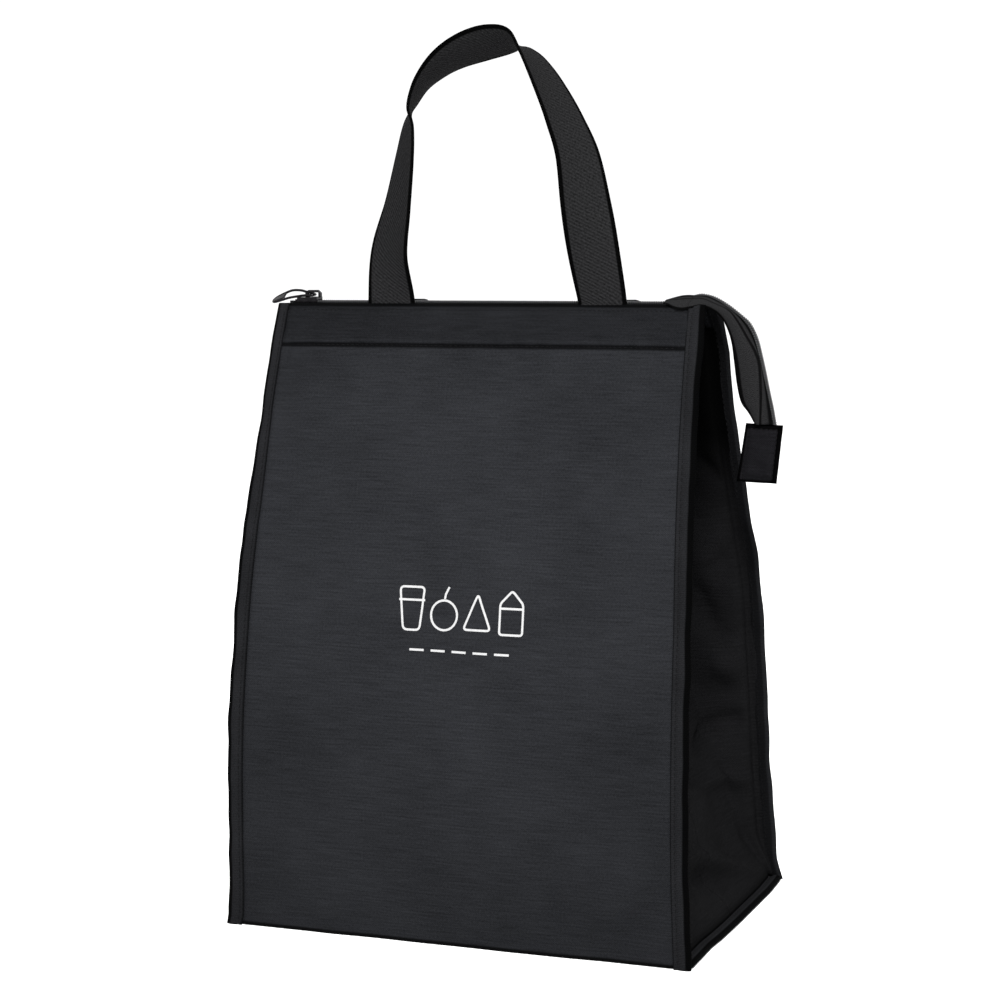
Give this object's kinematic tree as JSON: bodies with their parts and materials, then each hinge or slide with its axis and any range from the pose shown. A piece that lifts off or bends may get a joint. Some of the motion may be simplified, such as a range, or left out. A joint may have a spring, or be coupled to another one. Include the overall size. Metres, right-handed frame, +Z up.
{
  "type": "insulated lunch bag",
  "caption": "Soft insulated lunch bag, wide at the base and closing to a zip at the top, with fold-in side gussets, bound side seams, webbing handles and a hanging zip tail.",
  "frame": {"origin": "centre of the underside, on the surface it stands on", "axes": "+Z up, +X to the right seen from the front, front faces -Y"},
  "size_m": [0.289, 0.1854, 0.4745],
  "materials": {
    "shell_fabric": "dark grey woven polyester, matte with a faint sheen",
    "gusset_fabric": "black woven polyester bonded to thin foam",
    "binding_tape": "black ribbed binding tape with stitching",
    "foam": "pale closed-cell foam padding, hidden",
    "silver_lining": "silvered film, crinkled and glossy",
    "zip_tape": "black herringbone zip tape",
    "zip_coil": "black nylon coil",
    "zip_metal": "dark plated metal",
    "webbing": "black ribbed webbing",
    "white_print": "white print"
  },
  "bodies": {
    "base": {"base_panel": "shell_fabric", "base_foam": "foam", "base_liner": "silver_lining", "base_binding_left": "binding_tape", "base_binding_right": "binding_tape"},
    "front_wall": {"front_panel": "shell_fabric", "front_foam": "foam", "front_liner": "silver_lining", "front_hem_facing": "shell_fabric", "front_binding_left": "binding_tape", "front_binding_right": "binding_tape", "zip_tape_front": "zip_tape", "zip_coil_front": "zip_coil", "zip_stop_front": "zip_metal", "front_emblem": "white_print", "front_handle_end_left": "webbing", "front_handle_end_right": "webbing", "pleat_right_front": "gusset_fabric", "pleat_left_front": "gusset_fabric", "pleat_liner_right_front": "silver_lining", "pleat_liner_left_front": "silver_lining"},
    "back_wall": {"back_panel": "shell_fabric", "back_foam": "foam", "back_liner": "silver_lining", "back_hem_facing": "shell_fabric", "back_binding_left": "binding_tape", "back_binding_right": "binding_tape", "zip_tape_back": "zip_tape", "zip_coil_back": "zip_coil", "zip_stop_back": "zip_metal", "back_handle_end_left": "webbing", "back_handle_end_right": "webbing", "pleat_right_back": "gusset_fabric", "pleat_left_back": "gusset_fabric", "pleat_liner_right_back": "silver_lining", "pleat_liner_left_back": "silver_lining"},
    "gusset_right_front": {"gusset_right_front": "gusset_fabric", "gusset_liner_right_front": "silver_lining"},
    "gusset_left_front": {"gusset_left_front": "gusset_fabric", "gusset_liner_left_front": "silver_lining"},
    "gusset_right_back": {"gusset_right_back": "gusset_fabric", "gusset_liner_right_back": "silver_lining"},
    "gusset_left_back": {"gusset_left_back": "gusset_fabric", "gusset_liner_left_back": "silver_lining"},
    "front_handle": {"front_handle": "webbing"},
    "back_handle": {"back_handle": "webbing"},
    "slider": {"zip_slider": "zip_metal"},
    "puller": {"zip_puller": "zip_metal"},
    "tail": {"tail_coil": "zip_coil", "tail_tape_front": "zip_tape", "tail_tape_back": "zip_tape", "zip_end_tab": "gusset_fabric"}
  },
  "joints": [
    {"name": "front_open", "type": "hinge", "parent": "base", "child": "front_wall", "pos_m": [0, -0.08, 0], "axis": [1, 0, 0], "range_deg": [0, 12.3]},
    {"name": "back_open", "type": "hinge", "parent": "base", "child": "back_wall", "pos_m": [0, 0.08, 0], "axis": [-1, 0, 0], "range_deg": [0, 12.31]},
    {"name": "gusset_right_front_unfold", "type": "hinge", "parent": "front_wall", "child": "gusset_right_front", "pos_m": [0.121, -0.08, 0], "axis": [-0.6907, 0.719, -0.0775], "range_deg": [0, 17.75]},
    {"name": "gusset_left_front_unfold", "type": "hinge", "parent": "front_wall", "child": "gusset_left_front", "pos_m": [-0.121, -0.08, 0], "axis": [-0.6907, -0.719, 0.0775], "range_deg": [0, 17.75]},
    {"name": "gusset_right_back_unfold", "type": "hinge", "parent": "back_wall", "child": "gusset_right_back", "pos_m": [0.121, 0.08, 0], "axis": [0.6907, 0.719, 0.0775], "range_deg": [0, 17.75]},
    {"name": "gusset_left_back_unfold", "type": "hinge", "parent": "back_wall", "child": "gusset_left_back", "pos_m": [-0.121, 0.08, 0], "axis": [0.6907, -0.719, -0.0775], "range_deg": [0, 17.75]},
    {"name": "slider_travel", "type": "slide", "parent": "base", "child": "slider", "axis": [1, 0, 0], "range_m": [0, 0.205]},
    {"name": "puller_swing", "type": "hinge", "parent": "slider", "child": "puller", "pos_m": [-0.1035, 0, 0.3339], "axis": [0, 1, 0], "range_deg": [0, 120]},
    {"name": "front_handle_swing", "type": "hinge", "parent": "front_wall", "child": "front_handle", "pos_m": [0.0068, -0.00666, 0.3326], "axis": [1, 0, 0], "range_deg": [-6, 120]},
    {"name": "back_handle_swing", "type": "hinge", "parent": "back_wall", "child": "back_handle", "pos_m": [0.0068, 0.00666, 0.3342], "axis": [1, 0, 0], "range_deg": [0, 132]},
    {"name": "tail_swing", "type": "hinge", "parent": "base", "child": "tail", "pos_m": [0.1134, 0, 0.335], "axis": [0, -1, 0], "range_deg": [0, 50]}
  ],
  "couplings": [
    {"joint": "back_open", "follows": "front_open", "ratio": 1},
    {"joint": "gusset_right_front_unfold", "follows": "front_open", "ratio": 1.4418},
    {"joint": "gusset_left_front_unfold", "follows": "front_open", "ratio": 1.4418},
    {"joint": "gusset_right_back_unfold", "follows": "front_open", "ratio": 1.4418},
    {"joint": "gusset_left_back_unfold", "follows": "front_open", "ratio": 1.4418},
    {"joint": "slider_travel", "follows": "front_open", "m_per_rad": 0.9545}
  ]
}
